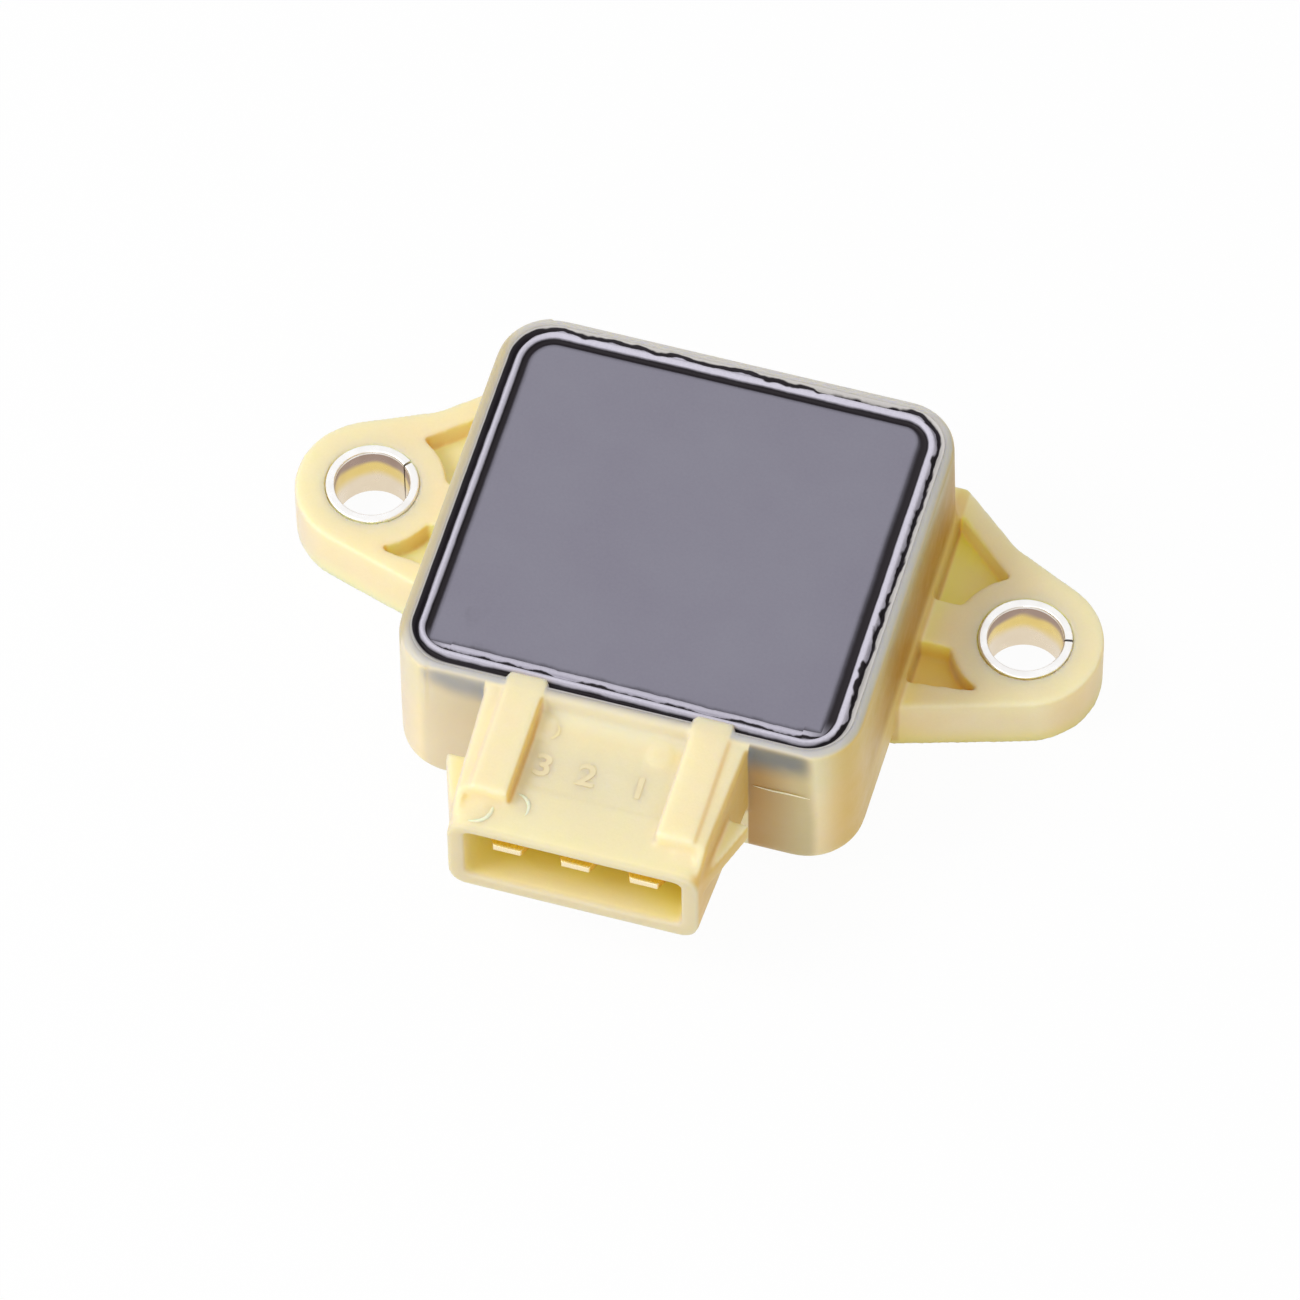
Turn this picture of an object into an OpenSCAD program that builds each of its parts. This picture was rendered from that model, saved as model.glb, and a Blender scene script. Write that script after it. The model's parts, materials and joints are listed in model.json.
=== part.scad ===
// Throttle position sensor with a moulded housing, a potted back, two bolt ears and a three-way socket.
// The origin is where the rotor axis meets the mounting face, midway between the two bolt holes.
// +X runs to the right ear, +Y away from the socket, and +Z from the mounting face to the potted back.

/* [Body] */
// Width of the body box along X
body_w = 34.2; // [33:0.1:38]
// Depth of the body box along Y
body_d = 32; // [31:0.1:36]
// Height of the rim above the mounting face
body_h = 14.7; // [14.3:0.1:17]
// Wall thickness at the rim
wall_t = 1.15; // [1:0.05:1.4]
// Outer radius of the four upright corners
corner_r = 4.2; // [3.5:0.1:5]
// Rounding of the rim's outer edge
rim_round = 0.45; // [0.2:0.05:0.6]
// Rounding of the edge around the body's underside
base_round = 1; // [0.6:0.1:1.4]
// Height of the body's underside above the mounting face
base_lift = 1.4; // [1.3:0.1:1.7]
// Thickness of the floor above the underside
floor_t = 1.6; // [1.4:0.1:1.9]
// Width of the ledge that carries the inner cover
ledge_w = 1; // [0.8:0.1:1.2]

/* [Ears] */
// Distance between the two bolt holes
hole_spacing = 49; // [48:0.5:52]
// Thickness of the ears
ear_t = 5; // [4:0.1:6]
// Radius of an ear's round end
ear_r = 5.65; // [5.3:0.05:6.5]
// Where an ear's front edge leaves the wall, measured from the hole line
ear_front_y = 8.2; // [7.5:0.1:9]
// Step from the body's back wall to where an ear's back edge leaves it
ear_back_step = 0.05; // [0.05:0.05:0.5]
// Bend of the back edge, measured from the bolt hole towards the wall
ear_bend_x = 2.7; // [2.2:0.1:3.4]
// Bend of the back edge, measured from the hole line
ear_bend_y = 7.5; // [7:0.1:8.2]
// Depth of the weight-saving pockets in the ears' top
pocket_depth = 2; // [1:0.1:2.5]
// Width of the rim behind a back pocket
pocket_back_rim = 1.8; // [1.2:0.1:2.2]
// Width of the rim in front of a front pocket
pocket_front_rim = 2.4; // [1.8:0.1:2.8]
// How far the front pocket's edge leans towards the hole line along the ear
pocket_front_lean = 0.7; // [0.3:0.1:1]
// Width of the bridge between the two pockets of an ear
bridge_w = 3.8; // [2.5:0.1:5]
// How far the bridge's middle lies in front of the hole line
bridge_shift = 0.25; // [0:0.05:0.5]
// Radius of the boss that the pockets leave around a bolt hole
boss_r = 5.4; // [4.6:0.1:5.5]

/* [Mounting sleeves] */
// Bore radius of a rolled steel sleeve
sleeve_bore_r = 2.75; // [2.2:0.05:3]
// Sheet thickness of a sleeve
sleeve_t = 0.65; // [0.5:0.05:0.9]
// How far a sleeve stands above its ear
sleeve_proud = 0.1; // [0:0.05:0.2]
// Width of the slit where the rolled sheet meets
sleeve_slit = 0.2; // [0.1:0.05:0.4]
// Direction of the slit in the left sleeve, in degrees
left_slit_angle = 50; // [0:1:359]
// Direction of the slit in the right sleeve, in degrees
right_slit_angle = 12; // [0:1:359]

/* [Socket shroud] */
// Width of the shroud at its mouth
shroud_w = 18.3; // [17.8:0.1:19]
// Width of the shroud where it leaves the front wall
shroud_root_w = 19.4; // [19:0.1:20.4]
// Height of the shroud
shroud_h = 7.4; // [7.2:0.1:8]
// Drop from the rim to the shroud's top
shroud_drop = 1.3; // [1.1:0.1:1.6]
// How far the shroud reaches out from the front wall
shroud_l = 11.1; // [10.8:0.1:13]
// Rounding of the shroud's long edges
shroud_round = 1.4; // [0.8:0.1:1.5]
// Width of the plug cavity
cavity_w = 15.9; // [15.6:0.1:16.4]
// Height of the plug cavity
cavity_h = 5.3; // [5:0.1:5.8]
// Height of the cavity's floor above the shroud's underside
cavity_rise = 1.3; // [1:0.1:1.4]
// Depth of the plug cavity
cavity_l = 9; // [8:0.1:9.2]
// Rounding of the cavity's corners
cavity_round = 0.5; // [0.2:0.1:0.9]
// Width of the two keying ribs on the shroud
rib_w = 2.85; // [2:0.05:3]
// Distance of a rib's middle from the shroud's middle
rib_x = 6.8; // [6.4:0.1:7]
// Distance from the shroud's mouth to the front end of the ribs
rib_setback = 1.6; // [1:0.1:4]
// Height of the ribs above the rim
rib_proud = 0.1; // [0.05:0.05:0.4]
// How far the ribs reach past the rim into the body
rib_key = 0.5; // [0.3:0.05:0.7]
// Drop from the rim to the raised shoulders outside the ribs
shoulder_drop = 0.3; // [0.1:0.1:0.8]
// Distance from the shroud's mouth to the foot of the ramp in front of the shoulders
shoulder_setback = 0.5; // [0.3:0.1:1.5]
// Length of the ramp in front of the shoulders
shoulder_ramp = 2; // [1:0.1:3]
// How far the shoulders stand back from the shroud's sides
shoulder_inset = 0.05; // [0.03:0.01:0.1]
// Rounding of the shoulders' outer edges
shoulder_round = 0.5; // [0.3:0.1:0.8]
// Depth of the sunken field between the ribs
field_depth = 0.12; // [0.05:0.01:0.2]
// Distance from the shroud's mouth to the sunken field
field_setback = 4.4; // [3:0.1:6]
// Radius of the two ejector marks on the field
mark_r = 0.85; // [0.5:0.05:1.1]
// Height of the ejector marks
mark_h = 0.2; // [0.1:0.05:0.3]
// Distance between the ejector marks
mark_spacing = 8.4; // [6:0.1:8.6]
// How far the ejector marks' middle lies to the left of the shroud's middle
mark_shift = 0.5; // [0:0.1:0.7]
// Distance of the ejector marks in front of the front wall
mark_y = 1.5; // [1.2:0.1:3]
// How far a latch wedge stands out from the shroud's side
wedge_out = 1.9; // [1:0.1:2.5]
// Length of a latch wedge
wedge_l = 5.8; // [4:0.1:6]
// Length of the flat at a latch wedge's tip
wedge_flat = 0.4; // [0.2:0.1:1]
// Height of a latch wedge
wedge_h = 1.6; // [1.2:0.1:2.4]
// Height of a latch wedge's underside above the shroud's underside
wedge_rise = 4.5; // [3:0.1:4.7]
// Distance from the front wall to the back of a latch wedge
wedge_y = 4.5; // [3:0.1:5]

/* [Terminals] */
// Distance between neighbouring terminals
terminal_pitch = 5; // [4.6:0.1:5.2]
// Width of a terminal blade
blade_w = 2.8; // [2:0.1:3]
// Thickness of a terminal blade
blade_t = 0.8; // [0.5:0.1:0.9]
// Height of the blades' middle above the cavity floor
blade_rise = 3.1; // [2.6:0.1:3.4]
// Distance of the blade tips inside the mouth
blade_setback = 0.8; // [0.4:0.1:3]
// Length of the taper at a blade's tip
blade_taper = 0.8; // [0.4:0.1:1.2]
// Width of a blade's flat nose
blade_nose_w = 2; // [1:0.1:2.4]
// Radius of the pins that join the terminals to the track board
pin_r = 0.4; // [0.3:0.05:0.5]
// Radius of a pin's flat head
pin_head_r = 0.9; // [0.7:0.05:1.2]
// Thickness of a pin's flat head
pin_head_t = 0.3; // [0.2:0.05:0.4]
// Distance of the pins from the track board's front edge
pin_inset = 2; // [1.8:0.1:2.6]
// Radius of a solder joint at its foot
solder_r = 1.1; // [0.9:0.05:1.3]
// Height of a solder joint
solder_h = 0.7; // [0.5:0.05:0.9]

/* [Potted back] */
// Depth of the potting's surface below the rim
potting_drop = 0.5; // [0.3:0.05:0.7]
// Share of the body's height at which the inner cover ends and the potting begins
cover_share = 0.8; // [0.79:0.005:0.81]
// Thickness of the inner cover under the potting
cover_t = 1.4; // [1:0.1:1.6]
// Gap around the inner cover
cover_gap = 0.1; // [0.05:0.05:0.2]
// Radius of the cover's pivot for the rotor
pivot_r = 1.5; // [1.2:0.1:1.8]
// How far the cover's pivot enters the rotor's hub
pivot_entry = 1.3; // [1:0.1:1.4]

/* [Track board] */
// Width of the track board
board_w = 20; // [19:0.1:24]
// Gap between the board and the ledge behind it and in front of it
board_gap = 0.4; // [0.3:0.05:0.6]
// Width of the board and of the rotor's flange outside the resistive track
track_border = 1; // [0.8:0.05:1.1]
// Thickness of the track board
board_t = 0.8; // [0.6:0.1:1]
// Thickness of the printed tracks
print_t = 0.1; // [0.06:0.01:0.14]
// Middle radius of the resistive track
outer_track_r = 7.2; // [7:0.1:7.4]
// Gap between the two tracks
track_gap = 0.7; // [0.6:0.05:0.9]
// Width of the two tracks
track_w = 1.6; // [1.4:0.1:1.8]
// Angle that the tracks run past the wiper's travel at each end
track_margin = 8; // [6:1:12]
// Width of the printed conductors
conductor_w = 1.2; // [0.8:0.1:1.4]
// Radius of the printed pads
pad_r = 1.4; // [1.1:0.1:1.6]
// Length of the series resistor
resistor_l = 2.6; // [2:0.1:3]
// Width of the series resistor
resistor_w = 1.8; // [1.4:0.1:2.4]

/* [Rotor] */
// Angle that the rotor turns between its stops
travel = 95; // [60:1:110]
// Radius of the rotor's journal
journal_r = 6.4; // [6:0.1:6.8]
// Radial gap of the running fits
running_gap = 0.05; // [0.03:0.01:0.08]
// Share of the height between the floor and the tracks that the bearing boss takes
bearing_share = 0.31; // [0.28:0.01:0.33]
// Wall thickness of the bearing boss
bearing_wall = 1.9; // [1.5:0.1:2]
// Distance of the rotor's end inside the mounting face
rotor_recess = 0.3; // [0.1:0.1:0.6]
// Thickness of the rotor's flange
flange_t = 1.6; // [1.2:0.1:1.8]
// Radial gap between the rotor's upper hub and the collector track
hub_track_gap = 0.9; // [0.7:0.1:1.2]
// Gap between the upper hub and the printed tracks
hub_gap = 0.5; // [0.3:0.1:0.8]
// Radius of the D-shaped drive socket
drive_r = 3.3; // [3:0.1:3.5]
// Distance of the drive socket's flat from the axis
drive_flat = 2.4; // [2:0.1:2.6]
// Thickness between the drive socket and the pivot's hole
drive_roof = 1.5; // [1.4:0.1:2.2]
// Width of the rotor's stop lug
lug_w = 3; // [2:0.1:4]
// Reach of the stop lug beyond the flange
lug_l = 3; // [2.6:0.1:3.4]
// Radius of the housing's two stop posts
post_r = 1.2; // [1:0.1:1.5]
// Gap left between the lug and a stop post at the end of the travel
stop_gap = 0.3; // [0.1:0.05:0.5]

/* [Rotor fittings] */
// Thickness of the thrust washer
washer_t = 0.3; // [0.2:0.05:0.4]
// Axial play above the thrust washer
axial_play = 0.1; // [0.05:0.05:0.2]
// Radial inset of the washer from the bearing boss's bore and rim
washer_inset = 0.2; // [0.1:0.05:0.3]
// Sheet thickness of the wiper spring
wiper_t = 0.2; // [0.15:0.05:0.25]
// Gap between a wiper tip and its track
wiper_gap = 0.05; // [0.03:0.01:0.1]
// Width of one wiper finger
finger_w = 0.36; // [0.25:0.01:0.4]
// Pitch of the wiper fingers
finger_pitch = 0.48; // [0.42:0.01:0.5]
// Distance of the wiper's foot from the line of its tips
wiper_reach = 2.6; // [2.2:0.1:2.8]
// Width of the wiper's foot
wiper_foot = 1.8; // [1.4:0.1:1.9]
// Radius of the two rotor stakes that hold the wiper
stake_r = 0.4; // [0.3:0.05:0.5]
// Radius of the stakes' melted heads
stake_head_r = 0.7; // [0.55:0.05:0.8]
// Sheet thickness of the clip in the drive socket
clip_t = 0.25; // [0.2:0.05:0.3]
// Width of the clip in the drive socket
clip_w = 2.6; // [2:0.1:3]
// Depth of the clip's pocket in the socket's wall
clip_pocket = 0.8; // [0.6:0.1:0.9]
// How far the clip bows into the drive socket
clip_bow = 0.3; // [0.1:0.05:0.4]

/* [Seals] */
// Section radius of the flange seal and the rotor seal
seal_r = 0.6; // [0.5:0.05:0.65]
// Middle radius of the flange seal
flange_seal_r = 10; // [9.6:0.1:10.4]
// Side room beside the flange seal in its groove
seal_room = 0.15; // [0.1:0.05:0.25]
// Width of the land outside the flange seal's groove
seal_land = 0.7; // [0.4:0.1:0.7]
// Height of the rotor seal's middle above the mounting face
rotor_seal_z = 1.9; // [1.6:0.1:2.6]
// Gap between the rotor seal and the bearing
rotor_seal_gap = 0.03; // [0.02:0.01:0.05]

/* [Hidden] */
$fn = 64;

// Overrun of every cut past the face it opens, and sink of every joined shape into its carrier
over = 0.5;

// Rings that the tracks set, and the walls' places around the board that carries them
inner_track_r = outer_track_r - track_w - track_gap;
flange_r = outer_track_r + track_w/2 + track_border;
back_y = flange_r + board_gap + ledge_w + wall_t;
front_y = back_y - body_d;
body_shift = body_d/2 - back_y;
board_front = -front_y - wall_t - ledge_w - board_gap;
pin_y = board_front - pin_inset;
resistor_y = (inner_track_r + track_w/2 + pin_y - pad_r)/2;

// Edges of the body and of its two inner steps
wall_x = body_w/2;
inner_w = body_w - 2*wall_t;
inner_d = body_d - 2*wall_t;
inner_r = corner_r - wall_t;
inner_front_y = front_y + wall_t;
chamber_r = inner_r - ledge_w;

// Heights of the stack under the rim
potting_top = body_h - potting_drop;
cover_top = cover_share*body_h;
potting_t = potting_top - cover_top;
cover_z = cover_top - cover_t;
board_z = cover_z - board_t;
track_z = board_z - print_t;
pin_bottom = track_z - pin_head_t;

// Heights of the stack over the floor
floor_top = base_lift + floor_t;
bearing_top = floor_top + bearing_share*(track_z - floor_top);
flange_z = bearing_top + washer_t + axial_play;
flange_top = flange_z + flange_t;
hub_r = inner_track_r - track_w/2 - hub_track_gap;
hub_top = track_z - hub_gap;
pivot_end = hub_top - pivot_entry;
pivot_hole_end = pivot_end - 2*axial_play;
drive_l = pivot_hole_end - drive_roof - rotor_recess;
stake_h = 2*wiper_t;
bearing_r = journal_r + running_gap;

// Outline of an ear, from the hole's own middle, with the wall towards -X
hole_x = hole_spacing/2;
ear_wall_x = wall_x - hole_x;
ear_back_y = back_y - ear_back_step;
sleeve_r = sleeve_bore_r + sleeve_t;
pocket_z = ear_t - pocket_depth;
bridge_top_y = bridge_w/2 - bridge_shift;
bridge_low_y = -bridge_w/2 - bridge_shift;

// Mouth, cavity and blades of the socket shroud
mouth_y = front_y - shroud_l;
shroud_top = body_h - shroud_drop;
shroud_z = shroud_top - shroud_h;
shroud_mid_z = shroud_z + shroud_h/2;
shoulder_top = body_h - shoulder_drop;
cavity_z = shroud_z + cavity_rise;
cavity_end_y = mouth_y + cavity_l;
rib_top = body_h + rib_proud;
blade_z = cavity_z + blade_rise;
blade_rise_in = cover_top + blade_t/2 - blade_z;
joggle_start_y = cavity_end_y + blade_t/2;
joggle_end_y = inner_front_y - blade_t/2;
terminal_xs = [-terminal_pitch, 0, terminal_pitch];

// Stops of the rotor
post_ring_r = flange_r + lug_l - post_r/2;
post_angle = travel/2 + asin((lug_w/2 + stop_gap + post_r)/post_ring_r);
track_half = travel/2 + track_margin;
flange_seal_top = 2*seal_r;
rotor_seal_r = bearing_r - rotor_seal_gap - seal_r;
clip_len = drive_l - 2*rotor_recess;
clip_z = 2*rotor_recess;
clip_back_r = drive_r + clip_pocket;

// Colours of the materials
cream = [0.93, 0.85, 0.62];
resin_grey = [0.36, 0.36, 0.4];
steel = [0.8, 0.8, 0.82];
brass = [0.86, 0.72, 0.38];
tin = [0.75, 0.76, 0.78];
ceramic = [0.93, 0.93, 0.9];
carbon = [0.12, 0.12, 0.13];
silver = [0.78, 0.78, 0.76];
black_rubber = [0.1, 0.1, 0.1];
rotor_black = [0.16, 0.16, 0.17];

// Point where the tangent from p touches a circle of radius r about zero; side is 1 or -1
function touch(p, r, side) =
    let (a = atan2(p[1], p[0]), b = side*acos(r/norm(p)))
    [r*cos(a + b), r*sin(a + b)];

// Rectangle of width w and depth d with round corners of radius r
module round_rect(w, d, r) {
    square([w - 2*r, d], center = true);
    square([w, d - 2*r], center = true);
    for (x = [-1, 1], y = [-1, 1])
        translate([x*(w/2 - r), y*(d/2 - r)]) circle(r);
}

// Half section of width w and height h, rounded by low at its foot and by high at its top
module edge_section(w, h, low, high) {
    square([w - low, h - high]);
    translate([0, low]) square([w, h - low - high]);
    square([w - max(low, high), h]);
    translate([w - low, low]) circle(low);
    square([w - high, h]);
    translate([w - high, h - high]) circle(high);
}

// Box with upright corners of radius r, and edges rounded by low and high
module soft_box(w, d, h, r, low, high) {
    for (x = [-1, 1], y = [-1, 1])
        translate([x*(w/2 - r), y*(d/2 - r), 0])
            rotate_extrude() corner_section(r, h, low, high);
    for (a = [0, 1])
        rotate([0, 0, a*90])
            soft_bar(a == 0 ? w : d, (a == 0 ? d : w) - 2*r, h, low, high);
}

// Half section of a corner, which stays on one side of its axis
module corner_section(r, h, low, high) {
    intersection() {
        edge_section(r, h, low, high);
        square([r, h]);
    }
}

// Straight bar of width w and length l with its long edges rounded
module soft_bar(w, l, h, low, high) {
    rotate([90, 0, 0])
        translate([0, 0, -l/2])
            linear_extrude(l)
                for (side = [0, 1])
                    mirror([side, 0]) edge_section(w/2, h, low, high);
}

// Places children about the body's middle
module at_body() {
    translate([0, -body_shift, 0]) children();
}

// Places children in the rotor's frame at mid travel, where +Y is the wiper's side
module at_rotor() {
    rotate([0, 0, -travel/2]) children();
}

// Flat outline of an ear about its hole, with the rotor axis at the far end towards -X
module ear_outline() {
    front = [ear_wall_x, -ear_front_y];
    bend = [-ear_bend_x, ear_bend_y];
    circle(ear_r);
    polygon([
        [0, 0], touch(bend, ear_r, -1), bend, [ear_wall_x, ear_back_y],
        [-hole_x, ear_back_y], [-hole_x, -ear_front_y],
        front, touch(front, ear_r, 1)
    ]);
}

// Flat outline of the two pockets in an ear's top
module pocket_outline() {
    slope = (ear_back_y - ear_bend_y)/(-ear_bend_x - ear_wall_x);
    drop = pocket_back_rim*sqrt(1 + slope*slope);
    end_x = -ear_bend_x/2;
    edge_y = -ear_front_y + pocket_front_rim;
    difference() {
        union() {
            polygon([
                [ear_wall_x, bridge_top_y], [ear_wall_x, ear_back_y - drop],
                [end_x, ear_back_y - drop - slope*(end_x - ear_wall_x)],
                [end_x, bridge_top_y]
            ]);
            polygon([
                [ear_wall_x, bridge_low_y], [end_x, bridge_low_y],
                [end_x, edge_y + pocket_front_lean], [ear_wall_x, edge_y]
            ]);
        }
        circle(boss_r);
    }
}

// One ear with its pockets and the hole for its sleeve
module ear() {
    difference() {
        linear_extrude(ear_t) ear_outline();
        translate([0, 0, pocket_z]) linear_extrude(pocket_depth + over) pocket_outline();
        translate([0, 0, -over]) cylinder(r = sleeve_r, h = ear_t + 2*over);
    }
}

// Places children along the shroud, with their section in X and Z, from y over length l
module along_shroud(y, l) {
    translate([0, y + l, 0]) rotate([90, 0, 0]) linear_extrude(l) children();
}

// Section of the shroud's outside with width w
module shroud_section(w) {
    translate([0, shroud_mid_z]) round_rect(w, shroud_h, shroud_round, $fn = 32);
}

// Section of the shoulders with width w, up to height top
module shoulder_section(w, top) {
    translate([0, (shroud_mid_z + top)/2])
        round_rect(w, top - shroud_mid_z, shoulder_round, $fn = 32);
}

// Raised shoulders between the ribs and the shroud's sides, with a ramp in front
module shoulders() {
    front_w = shroud_w - 2*shoulder_inset;
    widening = shroud_root_w - shroud_w;
    foot_y = mouth_y + shoulder_setback;
    difference() {
        hull() {
            along_shroud(foot_y, blade_t) shoulder_section(front_w, shroud_top - shroud_round/2);
            along_shroud(foot_y + shoulder_ramp, blade_t)
                shoulder_section(front_w + widening*shoulder_ramp/shroud_l, shoulder_top);
            along_shroud(front_y, wall_t/2) shoulder_section(front_w + widening, shoulder_top);
        }
        translate([-rib_x, mouth_y, shroud_z]) cube([2*rib_x, shroud_l + wall_t, rib_top]);
    }
}

// Socket shroud with its ribs, marks and latch wedges, before the cavity is cut
module shroud() {
    difference() {
        hull() {
            along_shroud(mouth_y, blade_t) shroud_section(shroud_w);
            along_shroud(front_y, wall_t/2) shroud_section(shroud_root_w);
        }
        translate([-rib_x, mouth_y + field_setback, shroud_top - field_depth])
            cube([2*rib_x, shroud_l - field_setback, field_depth + over]);
    }
    shoulders();
    for (x = [-1, 1]) {
        translate([x*mark_spacing/2 - mark_shift, front_y - mark_y, shroud_top - field_depth - mark_h])
            cylinder(r = mark_r, h = 2*mark_h);
        translate([x*rib_x - rib_w/2, mouth_y + rib_setback, cavity_z + cavity_h])
            cube([rib_w, shroud_l - rib_setback, rib_top - cavity_z - cavity_h]);
        translate([x*rib_x - rib_w/2, front_y - over, cover_z])
            cube([rib_w, wall_t + rib_key + over, rib_top - cover_z]);
        translate([0, front_y - wedge_y, shroud_z + wedge_rise])
            linear_extrude(wedge_h)
                polygon([
                    [x*(shroud_w/2 - over), 0], [x*(shroud_w/2 + wedge_out), 0],
                    [x*(shroud_w/2 + wedge_out), -wedge_flat], [x*shroud_w/2, -wedge_l],
                    [x*(shroud_w/2 - over), -wedge_l]
                ]);
    }
}

// Bearing boss for the rotor and the two posts that stop its lug
module bearing_and_stops() {
    cylinder(r = bearing_r + bearing_wall, h = bearing_top);
    for (side = [-1, 1])
        rotate([0, 0, side*post_angle])
            translate([0, -post_ring_r, floor_top - over])
                cylinder(r = post_r, h = flange_top - floor_top + over);
}

// Space inside the walls, with the ledge left for the inner cover
module chamber() {
    at_body() {
        translate([0, 0, floor_top])
            linear_extrude(body_h)
                round_rect(inner_w - 2*ledge_w, inner_d - 2*ledge_w, chamber_r);
        translate([0, 0, cover_z]) linear_extrude(body_h) round_rect(inner_w, inner_d, inner_r);
    }
}

// One-piece moulding that carries everything else
module housing() {
    color(cream)
        difference() {
            union() {
                difference() {
                    union() {
                        at_body()
                            translate([0, 0, base_lift])
                                soft_box(body_w, body_d, body_h - base_lift, corner_r, base_round, rim_round);
                        cylinder(r = flange_seal_r + seal_r + seal_room + seal_land, h = floor_top);
                        for (side = [0, 1])
                            mirror([side, 0, 0]) translate([hole_x, 0, 0]) ear();
                    }
                    chamber();
                }
                shroud();
                bearing_and_stops();
            }
            translate([0, 0, -over]) cylinder(r = bearing_r, h = bearing_top + 2*over);
            along_shroud(mouth_y - over, cavity_l + over)
                translate([0, cavity_z + cavity_h/2]) round_rect(cavity_w, cavity_h, cavity_round);
            for (x = terminal_xs) translate([x, 0, 0]) terminal_body();
            translate([0, 0, -over]) ring(flange_seal_r, seal_r + seal_room, flange_seal_top + over);
        }
}

// Flat ring of middle radius r, half width w and height h
module ring(r, w, h) {
    difference() {
        cylinder(r = r + w, h = h);
        translate([0, 0, -over]) cylinder(r = r - w, h = h + 2*over);
    }
}

// Insert-moulded terminal: a blade in the cavity, a joggle in the wall and a foot on the cover
module terminal_body() {
    tip_y = mouth_y + blade_setback;
    foot_y = -pin_y + solder_r;
    taper_t = blade_t*blade_nose_w/blade_w;
    intersection() {
        rotate([90, 0, 90])
            translate([0, 0, -blade_w/2])
                linear_extrude(blade_w)
                    polygon([
                        [tip_y, blade_z - taper_t/2], [tip_y + blade_taper, blade_z - blade_t/2],
                        [joggle_start_y, blade_z - blade_t/2],
                        [joggle_end_y, blade_z + blade_rise_in - blade_t/2],
                        [foot_y, blade_z + blade_rise_in - blade_t/2],
                        [foot_y, blade_z + blade_rise_in + blade_t/2],
                        [joggle_end_y, blade_z + blade_rise_in + blade_t/2],
                        [joggle_start_y, blade_z + blade_t/2],
                        [tip_y + blade_taper, blade_z + blade_t/2], [tip_y, blade_z + taper_t/2]
                    ]);
        linear_extrude(body_h)
            polygon([
                [-blade_nose_w/2, tip_y], [blade_nose_w/2, tip_y], [blade_w/2, tip_y + blade_taper],
                [blade_w/2, foot_y], [-blade_w/2, foot_y], [-blade_w/2, tip_y + blade_taper]
            ]);
    }
}

// Terminal at x with the eye for its contact pin
module terminal(x) {
    color(brass)
        translate([x, 0, 0])
            difference() {
                terminal_body();
                translate([0, -pin_y, cover_top - over]) cylinder(r = pin_r, h = blade_t + 2*over);
            }
}

// Headed pin at x, from under the track board up through the terminal's eye
module contact_pin(x) {
    color(tin)
        translate([x, -pin_y, pin_bottom]) {
            cylinder(r = pin_head_r, h = pin_head_t);
            cylinder(r = pin_r, h = cover_top + blade_t + solder_h - pin_bottom);
        }
}

// Cone of solder around the pin at x, on top of the terminal
module solder_joint(x) {
    color(tin)
        translate([x, -pin_y, cover_top + blade_t])
            difference() {
                cylinder(r1 = solder_r, r2 = 1.5*pin_r, h = solder_h);
                translate([0, 0, -over]) cylinder(r = pin_r, h = solder_h + 2*over);
            }
}

// Resin cast over the inner cover, the terminals' feet and the solder joints
module potting_compound() {
    color(resin_grey)
        difference() {
            at_body()
                translate([0, 0, cover_top])
                    linear_extrude(potting_t) round_rect(inner_w, inner_d, inner_r);
            rib_keys(0);
            for (x = terminal_xs) {
                translate([x, 0, 0]) terminal_body();
                translate([x, -pin_y, cover_top + blade_t])
                    cylinder(r1 = solder_r, r2 = 1.5*pin_r, h = solder_h);
            }
        }
}

// The ribs' ends inside the walls, grown by gap
module rib_keys(gap) {
    for (x = [-1, 1])
        translate([x*rib_x - rib_w/2 - gap, front_y, cover_z - over])
            cube([rib_w + 2*gap, wall_t + rib_key + gap, body_h - cover_z + 2*over]);
}

// Plate that closes the rotor's chamber and carries the track board and the pivot
module inner_cover() {
    color(rotor_black)
        difference() {
            union() {
                at_body()
                    translate([0, 0, cover_z])
                        linear_extrude(cover_t)
                            round_rect(inner_w - 2*cover_gap, inner_d - 2*cover_gap, inner_r - cover_gap);
                cylinder_between(pivot_r, pivot_end, cover_z + cover_t/2);
            }
            rib_keys(cover_gap);
            pin_holes(cover_z);
        }
}

// Clear holes for the three contact pins, up from height z
module pin_holes(z) {
    for (x = terminal_xs)
        translate([x, -pin_y, z - over]) cylinder(r = pin_r, h = body_h);
}

// Ceramic board under the inner cover
module track_board() {
    color(ceramic)
        difference() {
            translate([-board_w/2, -board_front, board_z])
                cube([board_w, board_front + flange_r, board_t]);
            translate([0, 0, board_z - over])
                cylinder(r = pivot_r + 2*cover_gap, h = board_t + 2*over);
            pin_holes(board_z);
        }
}

// Printed arc of middle radius r from angle a over angle sweep
module printed_arc(r, a, sweep) {
    translate([0, 0, track_z])
        rotate([0, 0, a])
            rotate_extrude(angle = sweep)
                translate([r - track_w/2, 0]) square([track_w, print_t]);
}

// Printed strip of width w along Y at x, from y1 to y2
module printed_strip(x, w, y1, y2) {
    translate([x - w/2, y1, track_z]) cube([w, y2 - y1, print_t]);
}

// Carbon track that the outer wiper fingers run on
module resistive_track() {
    color(carbon) printed_arc(outer_track_r, 90 - track_half, 2*track_half);
}

// Conductive track that the inner wiper fingers run on
module collector_track() {
    color(carbon) printed_arc(inner_track_r, 90 - track_half, 2*track_half);
}

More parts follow.
